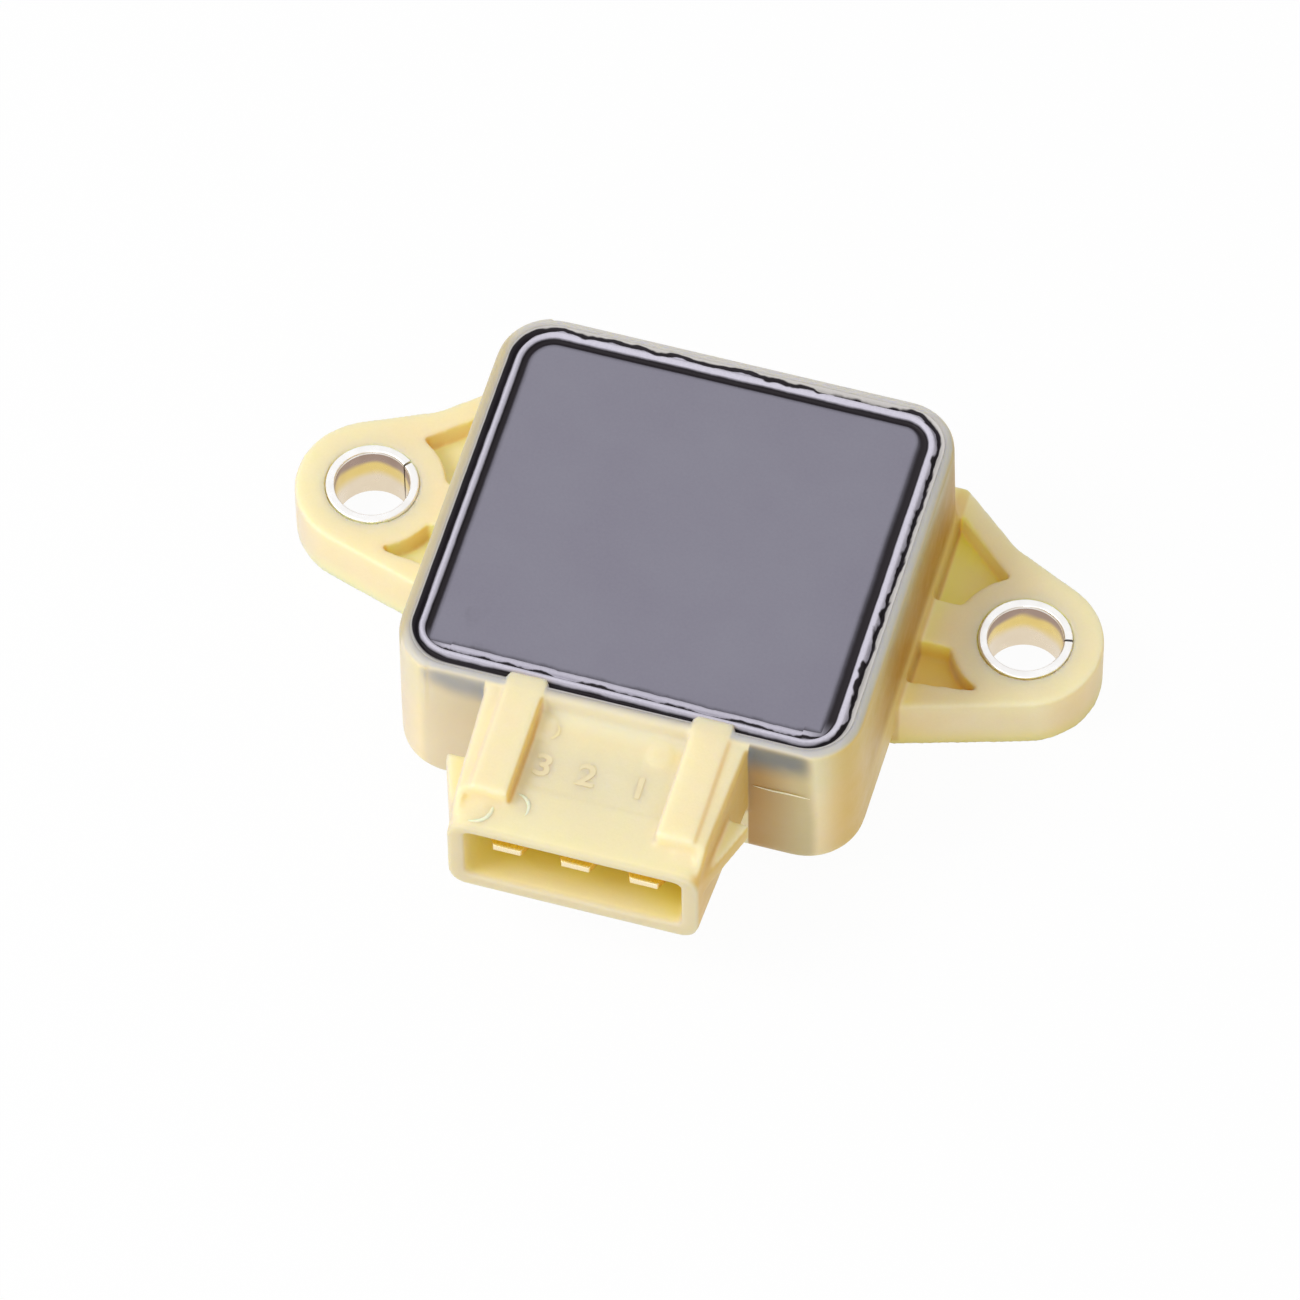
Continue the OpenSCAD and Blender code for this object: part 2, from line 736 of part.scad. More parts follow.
// Silver prints from the tracks' ends to the three pads
module printed_conductors() {
    end_angle = acos(terminal_pitch/outer_track_r);
    strip_y = -outer_track_r*sin(end_angle);
    resistor_back = -resistor_y + resistor_l/2;
    resistor_front = -resistor_y - resistor_l/2;
    color(silver)
        difference() {
            union() {
                for (side = [0, 1])
                    mirror([side, 0, 0]) {
                        printed_arc(outer_track_r, -end_angle, end_angle + 90 - track_half);
                        printed_strip(terminal_pitch, conductor_w, -pin_y, strip_y);
                    }
                printed_arc(inner_track_r, -90, 180 - track_half);
                printed_strip(0, conductor_w, resistor_back, -inner_track_r);
                printed_strip(0, conductor_w, -pin_y, resistor_front);
                for (x = terminal_xs)
                    translate([x, -pin_y, track_z]) cylinder(r = pad_r, h = print_t);
            }
            pin_holes(track_z);
        }
}

// Printed resistor between the collector track and the middle pad
module series_resistor() {
    color(carbon)
        printed_strip(0, resistor_w, -resistor_y - resistor_l/2, -resistor_y + resistor_l/2);
}

// Rolled steel sleeve in the ear on the given side
module mounting_sleeve(side, slit_angle) {
    color(steel)
        translate([side*hole_x, 0, 0])
            difference() {
                cylinder(r = sleeve_r, h = ear_t + sleeve_proud);
                translate([0, 0, -over]) cylinder(r = sleeve_bore_r, h = ear_t + sleeve_proud + 2*over);
                rotate([0, 0, slit_angle])
                    translate([0, -sleeve_slit/2, -over])
                        cube([sleeve_r + over, sleeve_slit, ear_t + sleeve_proud + 2*over]);
            }
}

// Round seal ring of middle radius r at height z
module seal_ring(r, z) {
    color(black_rubber)
        translate([0, 0, z]) rotate_extrude() translate([r, 0]) circle(seal_r, $fn = 32);
}

// Plain washer between the bearing boss and the rotor's flange
module thrust_washer() {
    color(ceramic)
        translate([0, 0, bearing_top])
            ring(bearing_r + bearing_wall/2, bearing_wall/2 - washer_inset, washer_t);
}

// Rotor with its journal, flange, stop lug, drive socket and wiper stakes
module rotor() {
    color(rotor_black)
        difference() {
            union() {
                translate([0, 0, rotor_recess]) cylinder(r = journal_r, h = flange_top - rotor_recess);
                translate([0, 0, flange_z]) cylinder(r = flange_r, h = flange_t);
                cylinder_between(hub_r, flange_z, hub_top);
                at_rotor() {
                    translate([-lug_w/2, -flange_r - lug_l, flange_z])
                        cube([lug_w, lug_l + (flange_r - journal_r)/2, flange_t]);
                    wiper_stakes();
                }
            }
            drive_socket();
            clip_slot();
            cylinder_between(pivot_r + running_gap, pivot_hole_end, hub_top + over);
            translate([0, 0, rotor_seal_z - seal_r])
                ring(journal_r + seal_r, journal_r + 2*seal_r - rotor_seal_r, 2*seal_r);
        }
}

// Cylinder of radius r between two heights
module cylinder_between(r, low, high) {
    translate([0, 0, low]) cylinder(r = r, h = high - low);
}

// D-shaped hole that takes the throttle shaft's end
module drive_socket() {
    translate([0, 0, rotor_recess - over])
        linear_extrude(drive_l + over)
            intersection() {
                circle(drive_r);
                translate([-drive_r, -drive_flat]) square([2*drive_r, drive_flat + drive_r]);
            }
}

// Pocket for the clip, opposite the drive socket's flat
module clip_slot() {
    translate([-clip_w/2 - running_gap, 0, rotor_recess - over])
        cube([clip_w + 2*running_gap, clip_back_r, drive_l + over]);
}

// Two stakes with melted heads that hold the wiper's foot
module wiper_stakes() {
    for (y = [inner_track_r, outer_track_r])
        translate([-wiper_reach - wiper_foot/2, y, flange_top - wiper_t]) {
            cylinder(r = stake_r, h = wiper_t + stake_h);
            translate([0, 0, 2*wiper_t]) cylinder(r = stake_head_r, h = stake_h - wiper_t);
        }
}

// Sprung sheet on the rotor, with three fingers on each track
module wiper_spring() {
    foot_low = inner_track_r - finger_pitch - finger_w/2;
    foot_high = outer_track_r + finger_pitch + finger_w/2;
    color(brass)
        at_rotor()
            difference() {
                union() {
                    translate([-wiper_reach - wiper_foot, foot_low, flange_top])
                        cube([wiper_foot, foot_high - foot_low, wiper_t]);
                    for (r = [inner_track_r, outer_track_r], k = [-1:1])
                        translate([0, r + k*finger_pitch + finger_w/2, 0]) wiper_finger();
                }
                for (y = [inner_track_r, outer_track_r])
                    translate([-wiper_reach - wiper_foot/2, y, flange_top - over])
                        cylinder(r = stake_r, h = wiper_t + 2*over);
            }
}

// One finger: a slope up from the foot and a tip that bends down again
module wiper_finger() {
    peak = track_z - wiper_gap;
    nose = wiper_reach/4;
    rotate([90, 0, 0])
        linear_extrude(finger_w)
            polygon([
                [-wiper_reach - wiper_foot/8, flange_top], [-wiper_reach, flange_top],
                [-nose/4, peak - wiper_t], [nose/4, peak - wiper_t],
                [nose, peak - 2*wiper_t], [nose, peak - wiper_t],
                [nose/4, peak], [-nose/4, peak],
                [-wiper_reach - wiper_t/2, flange_top + wiper_t],
                [-wiper_reach - wiper_foot/8, flange_top + wiper_t]
            ]);
}

// Bowed steel strip that takes up play between the shaft's end and the socket
module shaft_clip() {
    steps = 12;
    bow_share = clip_pocket + clip_bow - clip_t;
    path = [for (k = [0:steps])
        [clip_back_r - clip_t - bow_share*sin(180*k/steps), clip_z + clip_len*k/steps]];
    back = [for (p = path) [p[0] + clip_t, p[1]]];
    color(steel)
        rotate([90, 0, 90])
            translate([0, 0, -clip_w/2])
                linear_extrude(clip_w)
                    polygon(concat(path, [for (k = [steps:-1:0]) back[k]]));
}

housing();
potting_compound();
inner_cover();
track_board();
resistive_track();
collector_track();
printed_conductors();
series_resistor();
terminal(-terminal_pitch);  // terminal_1
terminal(0);  // terminal_2
terminal(terminal_pitch);  // terminal_3
contact_pin(-terminal_pitch);  // contact_pin_1
contact_pin(0);  // contact_pin_2
contact_pin(terminal_pitch);  // contact_pin_3
solder_joint(-terminal_pitch);  // solder_joint_1
solder_joint(0);  // solder_joint_2
solder_joint(terminal_pitch);  // solder_joint_3
mounting_sleeve(-1, left_slit_angle);  // mounting_sleeve_left
mounting_sleeve(1, right_slit_angle);  // mounting_sleeve_right
seal_ring(flange_seal_r, seal_r);  // flange_seal
thrust_washer();
rotor();
wiper_spring();
shaft_clip();
seal_ring(rotor_seal_r, rotor_seal_z);  // rotor_seal
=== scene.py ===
import json
import math

import bmesh
import bpy
import numpy as np
from mathutils import Matrix, Vector, noise


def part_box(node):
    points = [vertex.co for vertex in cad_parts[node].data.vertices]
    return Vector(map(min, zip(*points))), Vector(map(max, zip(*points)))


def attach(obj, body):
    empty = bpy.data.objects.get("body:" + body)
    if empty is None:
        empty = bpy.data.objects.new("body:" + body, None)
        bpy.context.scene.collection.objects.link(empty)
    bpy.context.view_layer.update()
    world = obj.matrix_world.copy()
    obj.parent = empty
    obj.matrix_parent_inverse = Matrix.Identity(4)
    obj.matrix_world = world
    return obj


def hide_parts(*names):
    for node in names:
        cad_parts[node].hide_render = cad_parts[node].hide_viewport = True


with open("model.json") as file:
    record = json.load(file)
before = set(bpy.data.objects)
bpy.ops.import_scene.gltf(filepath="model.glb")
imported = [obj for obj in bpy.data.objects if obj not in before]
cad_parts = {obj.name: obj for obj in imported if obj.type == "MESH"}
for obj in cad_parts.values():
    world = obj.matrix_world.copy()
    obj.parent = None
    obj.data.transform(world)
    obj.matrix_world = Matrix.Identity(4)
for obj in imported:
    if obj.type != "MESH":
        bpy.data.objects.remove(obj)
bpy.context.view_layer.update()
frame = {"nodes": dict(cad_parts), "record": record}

MM = 0.001
BODY = "sensor_body"


def srgb(r, g, b):
    """Linear colour with alpha from 8-bit sRGB values."""
    linear = [c / 255 / 12.92 if c <= 10.31 else ((c / 255 + 0.055) / 1.055) ** 2.4 for c in (r, g, b)]
    return (*linear, 1.0)


# ---------------------------------------------------------------- camera

AZIMUTH, ELEVATION, ROLL = math.radians(16.978), math.radians(56.458), math.radians(-0.834)
DISTANCE, SIDE_SHIFT, UP_SHIFT, PIVOT_Z = 760.821, -3.402, -6.424, 5.0
FOCAL_PX, FRAME_PX, SENSOR = 10560.0, 1300.0, 36.0


def make_camera():
    back = Vector((math.sin(AZIMUTH) * math.cos(ELEVATION), -math.cos(AZIMUTH) * math.cos(ELEVATION), math.sin(ELEVATION)))
    right = Vector((math.cos(AZIMUTH), math.sin(AZIMUTH), 0))
    up = back.cross(right)
    c, s = math.cos(ROLL), math.sin(ROLL)
    side, top = c * right + s * up, -s * right + c * up
    data = bpy.data.cameras.new("camera")
    data.sensor_width, data.lens = SENSOR, FOCAL_PX / FRAME_PX * SENSOR
    data.clip_start, data.clip_end = 0.05, 20
    cam = bpy.data.objects.new("camera", data)
    cam.matrix_world = Matrix((side, top, back)).transposed().to_4x4()
    cam.location = (DISTANCE * back + SIDE_SHIFT * side + UP_SHIFT * top) * MM + Vector((0, 0, PIVOT_Z * MM))
    bpy.context.scene.collection.objects.link(cam)
    bpy.context.scene.camera = cam


make_camera()


# ---------------------------------------------------------------- material kit

class Shader:
    """A node material that is written as expressions."""

    def __init__(self, name, **values):
        self.mat = bpy.data.materials.new(name)
        self.mat.use_nodes = True
        self.tree = self.mat.node_tree
        self.bsdf = self.tree.nodes["Principled BSDF"]
        for key, value in values.items():
            self.bsdf.inputs[key.replace("_", " ").title().replace("Ior", "IOR")].default_value = value

    def node(self, kind, sockets=None, out=0, **properties):
        made = self.tree.nodes.new("ShaderNode" + kind)
        for key, value in properties.items():
            setattr(made, key, value)
        for key, value in (sockets or {}).items():
            self.join(value, made.inputs[key])
        return made.outputs[out]

    def join(self, value, socket):
        if isinstance(value, bpy.types.NodeSocket):
            self.tree.links.new(value, socket)
        else:
            socket.default_value = value

    def set(self, name, value):
        self.join(value, self.bsdf.inputs[name])

    def math(self, operation, a, b=0.0, c=0.0, clamp=False):
        return self.node("Math", {0: a, 1: b, 2: c}, operation=operation, use_clamp=clamp)

    def mix(self, factor, a, b, blend="MIX"):
        return self.node("Mix", {0: factor, 6: a, 7: b}, out=2, data_type="RGBA", blend_type=blend)

    def step(self, value, low, high):
        """Smooth step from 0 at low to 1 at high."""
        return self.node("MapRange", {0: value, 1: low, 2: high, 3: 0.0, 4: 1.0}, interpolation_type="SMOOTHSTEP")

    def where(self):
        """Place in millimetres in the shared frame, which is every piece's own at rest."""
        if not hasattr(self, "_where"):
            here = self.node("TexCoord", out=3)
            self._where = self.node("VectorMath", {0: here, 3: 1 / MM}, operation="SCALE")
        return self._where

    def axis(self, index):
        if not hasattr(self, "_axes"):
            self._axes = self.node("SeparateXYZ", {0: self.where()}).node
        return self._axes.outputs[index]

    def noise(self, scale, detail=2.0, roughness=0.5, vector=None, stretch=None):
        vector = vector or self.where()
        if stretch:
            vector = self.node("VectorMath", {0: vector, 1: stretch}, operation="MULTIPLY")
        return self.node("TexNoise", {"Vector": vector, "Scale": scale, "Detail": detail, "Roughness": roughness})

    def spread(self, texture, low, high):
        """A texture's middle range spread over low to high."""
        return self.node("MapRange", {0: texture, 1: 0.3, 2: 0.7, 3: low, 4: high})

    def bump(self, height, distance, strength=1.0, normal=None):
        sockets = {"Height": height, "Distance": distance * MM, "Strength": strength}
        if normal:
            sockets["Normal"] = normal
        return self.node("Bump", sockets)


def plain_finish(name, colour, rough, metal=0.0, grain=3.0, vary=0.12, relief=0.01, stretch=None, **more):
    """Finish with mottled colour, uneven gloss and a fine relief, all of one grain size in 1/mm."""
    s = Shader(name, metallic=metal, **more)
    broad = s.spread(s.noise(grain * 0.12, 3.0, stretch=stretch), 0.0, 1.0)
    fine = s.noise(grain, 4.0, 0.6, stretch=stretch)
    darker = [c * (1 - vary) for c in colour[:3]] + [1.0]
    lighter = [min(1.0, c * (1 + vary)) for c in colour[:3]] + [1.0]
    tone = s.mix(broad, darker, lighter)
    s.set("Base Color", s.mix(s.spread(fine, 0.0, 0.35), tone, darker))
    s.set("Roughness", s.spread(fine, max(0.03, rough - 0.08), min(1.0, rough + 0.08)))
    s.set("Normal", s.bump(fine, relief))
    return s.mat


# ---------------------------------------------------------------- mesh kit

def add_object(name, mesh, material, body=BODY):
    piece = bpy.data.objects.new(name, mesh)
    bpy.context.scene.collection.objects.link(piece)
    mesh.materials.clear()
    mesh.materials.append(material)
    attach(piece, body)
    return piece


def mesh_from(name, verts, faces, smooth=True):
    mesh = bpy.data.meshes.new(name)
    mesh.from_pydata([tuple(c * MM for c in v) for v in verts], [], faces)
    mesh.validate()
    mesh.update()
    if smooth:
        mesh.shade_smooth()
    return mesh


def applied(piece):
    """Replaces a piece's mesh by its result with all modifiers."""
    graph = bpy.context.evaluated_depsgraph_get()
    graph.update()
    result = bpy.data.meshes.new_from_object(piece.evaluated_get(graph))
    piece.modifiers.clear()
    piece.data = result
    return result


def coords(mesh):
    flat = np.empty(len(mesh.vertices) * 3)
    mesh.vertices.foreach_get("co", flat)
    return flat.reshape(-1, 3) / MM


def set_coords(mesh, points):
    mesh.vertices.foreach_set("co", (points * MM).ravel())
    mesh.update()


def mm_box(node):
    return [np.array(corner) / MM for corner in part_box(node)]


# ---------------------------------------------------------------- sizes that the frame doesn't give

HOLE_X, SLEEVE_BORE_R, SLEEVE_R, SLEEVE_TOP = 24.5, 2.75, 3.4, 5.1
BODY_MID_Y, WALL_X, FRONT_Y, RIM_Z, BODY_D, WALL_T = -4.45, 17.1, -20.45, 14.7, 32.0, 1.15
OUTER_R, INNER_R = 4.2, 3.05
SHROUD_TOP, FIELD_DROP, MOUTH_Y, RIB_END_Y = 13.4, 0.12, -31.55, -29.95
BEARING_R, BEARING_TOP = 6.45, 5.0


# ---------------------------------------------------------------- housing

def housing_material():
    s = Shader("housing_nylon", specular_ior_level=0.42, subsurface_weight=0.8, subsurface_scale=MM)
    s.bsdf.inputs["Subsurface Radius"].default_value = (2.4, 2.1, 1.0)
    x, y, z = (s.axis(k) for k in range(3))
    across = s.math("ABSOLUTE", x)
    broad = s.spread(s.noise(0.16, 3.0, 0.55), 0.0, 1.0)
    blotch = s.noise(0.55, 4.0, 0.6)
    grain = s.noise(5.0, 4.0, 0.65)
    tone = s.mix(broad, srgb(253, 234, 196), srgb(250, 228, 188))
    tone = s.mix(s.spread(blotch, 0.0, 0.4), tone, srgb(245, 231, 182))
    tone = s.mix(s.spread(grain, 0.0, 0.14), tone, srgb(232, 208, 160))

    # painted golden shade in hollows, for light that has passed through the nylon, most in hollows on the right
    open_share = s.node("AmbientOcclusion", {"Distance": 4.0 * MM}, out=1, samples=12)
    hollow = s.math("SUBTRACT", 1.0, open_share)
    low = s.math("SUBTRACT", 1.0, s.step(z, 12.9, 13.3))
    rightness = s.step(x, -14.0, -9.0)
    behind = s.step(y, -4.0, 1.0)
    near = s.mix(rightness, srgb(254, 246, 190), s.mix(behind, srgb(254, 230, 134), srgb(254, 242, 138)))
    front_deep = s.mix(s.step(x, 16.5, 17.5), srgb(255, 228, 98), srgb(236, 192, 84))
    deep = s.mix(rightness, srgb(255, 248, 172), s.mix(behind, front_deep, srgb(255, 243, 100)))
    hollow_shade_share = s.math("ADD", 0.3, s.math("MULTIPLY", low, 0.7))
    tone = s.mix(s.math("MULTIPLY", s.step(hollow, 0.15, 0.6), hollow_shade_share), tone, near)
    tone = s.mix(s.math("MULTIPLY", s.step(hollow, 0.6, 1.0), hollow_shade_share), tone, deep)
    facing = s.node("SeparateXYZ", {0: s.node("TexCoord", out=1)})
    inside = s.math("MULTIPLY", s.step(z, 6.4, 6.7), s.math("SUBTRACT", 1.0, s.step(z, 12.5, 12.8)))
    inside = s.math("MULTIPLY", inside, s.math("SUBTRACT", 1.0, s.step(across, 8.1, 8.5)))
    inside = s.math("MULTIPLY", inside, s.math("LESS_THAN", y, FRONT_Y - 0.5))
    # painted shade: faces turned towards +x, away from the key lamp, are painted golden, except in the socket
    shaded_side = s.math("MULTIPLY", s.step(facing, 0.35, 0.9), s.math("SUBTRACT", 1.0, inside))
    tone = s.mix(s.math("MULTIPLY", shaded_side, s.math("SUBTRACT", 0.8, s.math("MULTIPLY", s.step(x, 17.2, 17.5), 0.45))), tone, srgb(218, 180, 84))
    # painted light: faces turned towards -x, towards the key lamp, are painted paler
    lit_side = s.step(s.math("SUBTRACT", 0.0, facing), 0.3, 0.9)
    tone = s.mix(s.math("MULTIPLY", lit_side, 0.85), tone, srgb(232, 216, 192))

    # the socket's inside, a painted golden glow of light through the nylon, deeper away from the mouth
    cavity = s.math("MULTIPLY", inside, s.step(y, MOUTH_Y + 0.2, MOUTH_Y + 3.2))
    cavity_glow = s.mix(s.step(x, -8.4, -5.5), srgb(255, 238, 172), srgb(255, 229, 110))
    tone = s.mix(s.math("MULTIPLY", cavity, 0.85), tone, cavity_glow)
    # the mouth's frame: painted shade on its front face, paler and duller than the rest of the shroud
    frame_shade = s.math("SUBTRACT", 1.0, s.step(y, MOUTH_Y + 0.05, MOUTH_Y + 0.5))
    tone = s.mix(s.math("MULTIPLY", frame_shade, 0.9), tone, srgb(217, 204, 172))

    wall_below = s.math("SUBTRACT", 1.0, s.step(z, 14.3, 14.62))
    # side wall behind the right ear: painted golden brown shade below, paler at its foot, greyer towards the rim
    side = s.math("MULTIPLY", s.step(x, WALL_X - 0.9, WALL_X - 0.35), s.math("SUBTRACT", 1.0, s.step(x, WALL_X + 0.1, WALL_X + 0.4)))
    side = s.math("MULTIPLY", s.math("MULTIPLY", side, wall_below), s.step(y, -17.5, -7.0))
    side = s.math("MULTIPLY", side, s.step(z, 0.3, 0.8))
    wall_shade_and_grey = s.mix(s.step(z, 9.0, 12.6), srgb(174, 126, 48), srgb(176, 144, 80))
    wall_shade_and_grey = s.mix(s.step(z, 12.2, 14.4), wall_shade_and_grey, srgb(184, 172, 134))
    wall_shade_and_grey = s.mix(s.step(z, 5.2, 7.6), srgb(230, 202, 124), wall_shade_and_grey)
    tone = s.mix(s.math("MULTIPLY", side, s.math("SUBTRACT", 0.95, s.math("MULTIPLY", s.step(y, 4.0, 9.0), 0.35))), tone, wall_shade_and_grey)
    # front wall: painted shade, darker towards the right, and a painted golden shadow beside the shroud's right side
    front = s.math("MULTIPLY", s.math("SUBTRACT", 1.0, s.step(y, FRONT_Y + 0.15, FRONT_Y + 0.5)), s.step(y, FRONT_Y - 0.25, FRONT_Y - 0.08))
    front = s.math("MULTIPLY", front, s.step(across, 9.62, 9.76))
    tone = s.mix(s.math("MULTIPLY", front, 0.9), tone, s.mix(s.step(x, 2.0, 11.0), srgb(226, 211, 179), srgb(204, 191, 145)))
    shade = s.math("MULTIPLY", front, s.math("SUBTRACT", 1.0, s.step(x, 9.4, 14.5)))
    shade = s.math("MULTIPLY", shade, s.math("GREATER_THAN", x, 0.0))
    tone = s.mix(shade, tone, srgb(186, 146, 82))

    # the dark resin shows through the thin walls under the rim, but not through the ribs and shoulders
    level = s.math("ADD", z, s.spread(s.noise(0.3, 2.0), -0.3, 0.3))
    level = s.math("SUBTRACT", level, s.math("MULTIPLY", s.math("SUBTRACT", 1.0, s.step(x, -14.5, -10.0)), 0.5))
    show = s.step(level, 11.2, 13.6)
    corner = s.math("MULTIPLY", s.step(across, 13.6, 15.2), front)
    show = s.math("MULTIPLY", show, s.math("SUBTRACT", 1.0, s.math("MULTIPLY", corner, 0.8)))
    grey = s.mix(s.step(x, 2.0, 9.0), srgb(168, 167, 165), srgb(128, 130, 127))
    tone = s.mix(s.math("MULTIPLY", show, front), tone, grey)
    # rim, darker towards the black line between the ribs
    rim = s.math("MULTIPLY", s.step(z, 14.3, 14.62), s.step(y, FRONT_Y + 0.2, FRONT_Y + 0.55))
    rim_tone = s.mix(s.step(x, -16.8, -15.8), srgb(196, 184, 158), srgb(196, 193, 190))
    rim_tone = s.mix(s.step(x, 15.7, 16.4), rim_tone, srgb(186, 184, 178))
    rim_tone = s.mix(s.step(y, 10.2, 10.8), rim_tone, srgb(206, 202, 199))
    ribs = s.math("MULTIPLY", s.step(across, 5.25, 5.5), s.math("SUBTRACT", 1.0, s.step(across, 8.1, 8.35)))
    near_front = s.math("SUBTRACT", 1.0, s.step(y, FRONT_Y + 2.0, FRONT_Y + 3.0))
    keep = s.math("SUBTRACT", 1.0, s.math("MULTIPLY", s.math("MULTIPLY", ribs, near_front), 0.95))
    tone = s.mix(s.math("MULTIPLY", s.math("MULTIPLY", rim, keep), 0.92), tone, rim_tone)
    between = s.math("MULTIPLY", s.math("SUBTRACT", 1.0, s.step(across, 5.2, 5.45)), s.math("MULTIPLY", near_front, s.step(z, 13.0, 13.2)))
    # painted light that fills the shade of the step below the rim between the ribs, then greyer towards the black
    # line
    tone = s.mix(s.math("MULTIPLY", between, s.step(y, FRONT_Y - 1.6, FRONT_Y - 0.2)), tone, srgb(253, 237, 202))
    tone = s.mix(s.math("MULTIPLY", between, s.step(y, FRONT_Y - 0.1, FRONT_Y + 1.1)), tone, srgb(176, 170, 162))
    # left wall's top, dulled by the resin behind it
    dull = s.math("MULTIPLY", s.math("SUBTRACT", 1.0, s.step(x, -16.6, -16.3)), s.step(z, 12.2, 14.4))
    tone = s.mix(s.math("MULTIPLY", dull, 0.9), tone, srgb(194, 181, 152))

    s.set("Base Color", tone)
    s.set("Roughness", s.spread(blotch, 0.36, 0.5))
    soft = s.bump(s.noise(0.5, 2.0), 0.12, 0.5)
    s.set("Normal", s.bump(grain, 0.012, 0.8, soft))
    return s.mat


def digit_material():
    """Flat raised digits, a little darker than the nylon around them."""
    s = Shader("nylon_digit", specular_ior_level=0.42)
    fine = s.noise(2.0, 3.0)
    s.set("Base Color", s.mix(s.spread(fine, 0.0, 1.0), srgb(237, 223, 182), srgb(232, 217, 175)))
    s.set("Roughness", s.spread(fine, 0.36, 0.5))
    return s.mat


def mark_material():
    """Round marks, a little brighter than the field that they stand on."""
    s = Shader("nylon_mark", specular_ior_level=0.42)
    fine = s.noise(2.0, 3.0)
    s.set("Base Color", s.mix(s.spread(fine, 0.0, 1.0), srgb(250, 234, 186), srgb(244, 226, 174)))
    s.set("Roughness", s.spread(fine, 0.36, 0.5))
    return s.mat


def flash_material():
    """Thin whitish flash and witness lines."""
    s = Shader("nylon_flash", specular_ior_level=0.5, subsurface_weight=0.3, subsurface_scale=MM)
    fine = s.noise(4.0, 3.0)
    s.set("Base Color", s.mix(s.spread(fine, 0.0, 1.0), srgb(255, 244, 216), srgb(252, 237, 202)))
    s.set("Roughness", s.spread(fine, 0.3, 0.42))
    return s.mat


def housing_shell(material):
    """The moulding's soft-edged skin, drawn from its own solid."""
    source = frame["nodes"]["housing"]
    piece = bpy.data.objects.new("housing_shell", source.data.copy())
    bpy.context.scene.collection.objects.link(piece)
    points = coords(piece.data)
    for side, back in ((-1, 1.0), (1, 0.7)):
        end = (points[:, 0] * side > 5) & (abs(points[:, 1] - RIB_END_Y) < 0.02) & (points[:, 2] > SHROUD_TOP - 0.02)
        points[end, 1] += back
    set_coords(piece.data, points)
    remesh = piece.modifiers.new("remesh", "REMESH")
    remesh.mode, remesh.voxel_size, remesh.use_smooth_shade = "VOXEL", 0.19 * MM, True
    smooth = piece.modifiers.new("smooth", "SMOOTH")
    smooth.factor, smooth.iterations = 0.5, 11
    applied(piece)
    points = coords(piece.data)
    keep_bearing_clear(points)
    shape_rim(points)
    set_coords(piece.data, points)
    faces = sum(len(p.vertices) - 2 for p in piece.data.polygons)
    thin = piece.modifiers.new("thin", "DECIMATE")
    thin.ratio = min(1.0, 185000 / faces)
    applied(piece)
    piece.data.shade_smooth()
    piece.data.materials.clear()
    piece.data.materials.append(material)
    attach(piece, BODY)
    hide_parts("housing")
    return piece


def keep_bearing_clear(points):
    """Moves the bore's surface back to its own radius, so that the rotor keeps its running gap."""
    radius = np.hypot(points[:, 0], points[:, 1])
    near = (radius > BEARING_R - 0.4) & (radius < BEARING_R + 0.12) & (points[:, 2] < BEARING_TOP + 0.2)
    low = near & (radius < BEARING_R + 0.02)
    points[low, :2] *= ((BEARING_R + 0.02) / radius[low])[:, None]


def inside_distance(points, half_x, half_y, radius):
    """Distance inwards from a round-cornered outline about the body's middle, and its outward direction."""
    flat = np.stack([points[:, 0], points[:, 1] - BODY_MID_Y], 1)
    over = np.abs(flat) - (np.array([half_x, half_y]) - radius)
    corner = np.hypot(*np.maximum(over, 0).T)
    distance = radius - (corner + np.minimum(over.max(1), 0))
    out = np.where((over > 0).all(1)[:, None], over, (over == over.max(1)[:, None]).astype(float)) * np.sign(flat)
    return distance, out / np.maximum(np.linalg.norm(out, axis=1), 1e-9)[:, None]


def shape_rim(points):
    """Gives the walls a slight draft towards the rim and bevels the rim's inner edge."""
    depth, out = inside_distance(points, WALL_X, BODY_D / 2, OUTER_R)
    share = np.clip((0.8 - depth) / 0.5, 0, 1) * np.clip((depth + 1.4) / 1.2, 0, 1)
    rise = np.clip((points[:, 2] - 6.5) / (RIM_Z - 6.5), 0, 1)
    points[:, :2] -= out * (share * rise * np.where(out[:, 0] < -0.3, 0.06, 0.2))[:, None]
    depth, _ = inside_distance(points, WALL_X - WALL_T, BODY_D / 2 - WALL_T, INNER_R)
    rib = (abs(abs(points[:, 0]) - 6.8) < 1.5) & (points[:, 1] < FRONT_Y + 4)
    top = (points[:, 2] > 13.2) & (depth > -0.5) & (depth < 0.25) & (points[:, 1] > FRONT_Y) & ~rib
    limit = RIM_Z - 1.2 * np.clip(depth + 0.3, 0, 1)
    points[top, 2] = np.minimum(points[top, 2], limit[top])


# ---------------------------------------------------------------- potting

# For each side: where the black line starts and ends, and where the pale bead (a painted highlight) and the groove
# end, in mm from the wall; the widths differ per side with the light
BANDS = {
    "left": (-0.2, 0.27, 0.72, 1.3), "right": (0.13, 0.36, 0.95, 1.8),
    "top": (-0.12, 0.08, 0.58, 1.12), "bottom": (0.13, 0.5, 0.95, 1.75),
}
AROUND, RING_STEP, LAP = 720, 0.05, 0.27
FLAT_Z, LAP_Z = 14.2, 14.68


